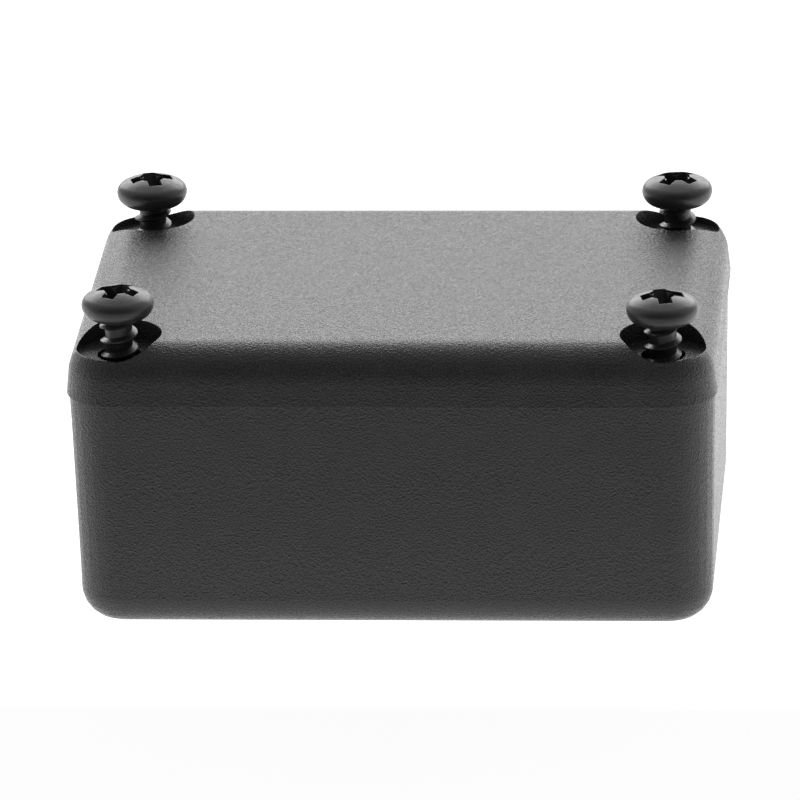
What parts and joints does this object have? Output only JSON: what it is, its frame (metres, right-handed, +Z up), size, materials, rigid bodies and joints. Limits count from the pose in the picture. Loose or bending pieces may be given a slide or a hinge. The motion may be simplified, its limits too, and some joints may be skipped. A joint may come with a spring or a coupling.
{
  "type": "plastic project box",
  "caption": "Small rectangular plastic project box: drafted tray, shallow screw-down lid with rounded edges, and pan-head corner screws left standing proud of their recesses.",
  "frame": {"origin": "on the underside of the base, under the centre of the closed box", "axes": "+X along the long side, to the viewer's right; +Y towards the back; +Z up, out of the lid"},
  "size_m": [0.05, 0.035, 0.0266],
  "materials": {
    "moulded_case": "black, fine spark-eroded grain, semi-matt",
    "blackened_screw": "black plated steel, glossy"
  },
  "bodies": {
    "base": {"base": "moulded_case"},
    "lid": {"lid": "moulded_case"},
    "screw_front_left": {"screw_front_left": "blackened_screw"},
    "screw_front_right": {"screw_front_right": "blackened_screw"},
    "screw_back_left": {"screw_back_left": "blackened_screw"},
    "screw_back_right": {"screw_back_right": "blackened_screw"}
  },
  "joints": [
    {"name": "lid_lift", "type": "slide", "parent": "base", "child": "lid", "axis": [0, 0, 1], "range_m": [0, 0.04]},
    {"name": "screw_front_left_travel", "type": "slide", "parent": "lid", "child": "screw_front_left", "axis": [0, 0, 1], "range_m": [-0.00305, 0.012]},
    {"name": "screw_front_right_travel", "type": "slide", "parent": "lid", "child": "screw_front_right", "axis": [0, 0, 1], "range_m": [-0.00269, 0.012]},
    {"name": "screw_back_left_travel", "type": "slide", "parent": "lid", "child": "screw_back_left", "axis": [0, 0, 1], "range_m": [-0.00275, 0.012]},
    {"name": "screw_back_right_travel", "type": "slide", "parent": "lid", "child": "screw_back_right", "axis": [0, 0, 1], "range_m": [-0.00281, 0.012]}
  ]
}
